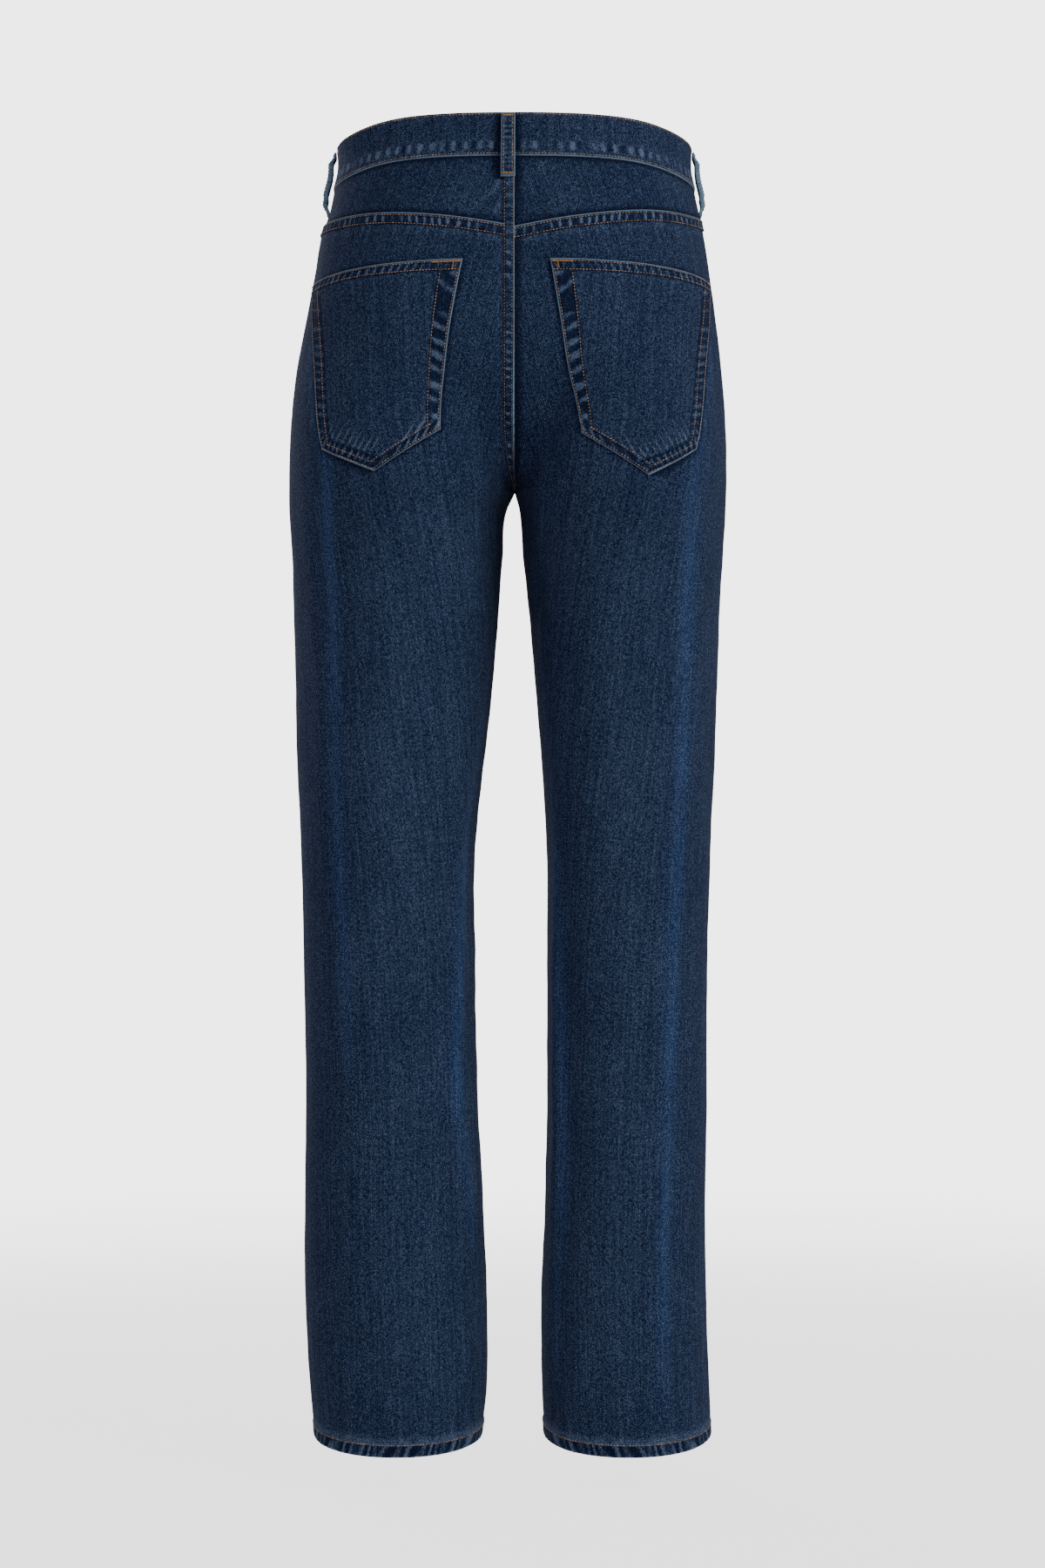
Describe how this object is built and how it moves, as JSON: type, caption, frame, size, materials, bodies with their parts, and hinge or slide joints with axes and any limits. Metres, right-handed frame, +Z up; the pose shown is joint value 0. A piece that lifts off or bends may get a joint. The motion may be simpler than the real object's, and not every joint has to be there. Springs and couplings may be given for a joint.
{
  "type": "straight leg jeans",
  "caption": "Straight leg denim jeans, hollow as when worn, with a waistband with belt loops, a back yoke, patch pockets and a fastened waist button.",
  "frame": {"origin": "centre of the waist, at the height of the waistband", "axes": "+Z up the body, -Y towards the front of the jeans, +X towards the wearer's left"},
  "size_m": [0.3634, 0.2456, 1.0895],
  "materials": {
    "denim": "dark indigo right-hand twill denim, stone washed, worn light along its edges, tan topstitching",
    "button_metal": "aged copper-coloured brass, softly polished"
  },
  "bodies": {
    "root": {"waistband": "denim", "front_left": "denim", "front_right": "denim", "back_left": "denim", "back_right": "denim", "yoke_left": "denim", "yoke_right": "denim", "pocket_back_left": "denim", "pocket_back_right": "denim", "pocket_facing_left": "denim", "pocket_facing_right": "denim", "belt_loop_back": "denim", "belt_loop_left": "denim", "belt_loop_right": "denim", "belt_loop_front_left": "denim", "belt_loop_front_right": "denim", "button": "button_metal"}
  },
  "joints": []
}
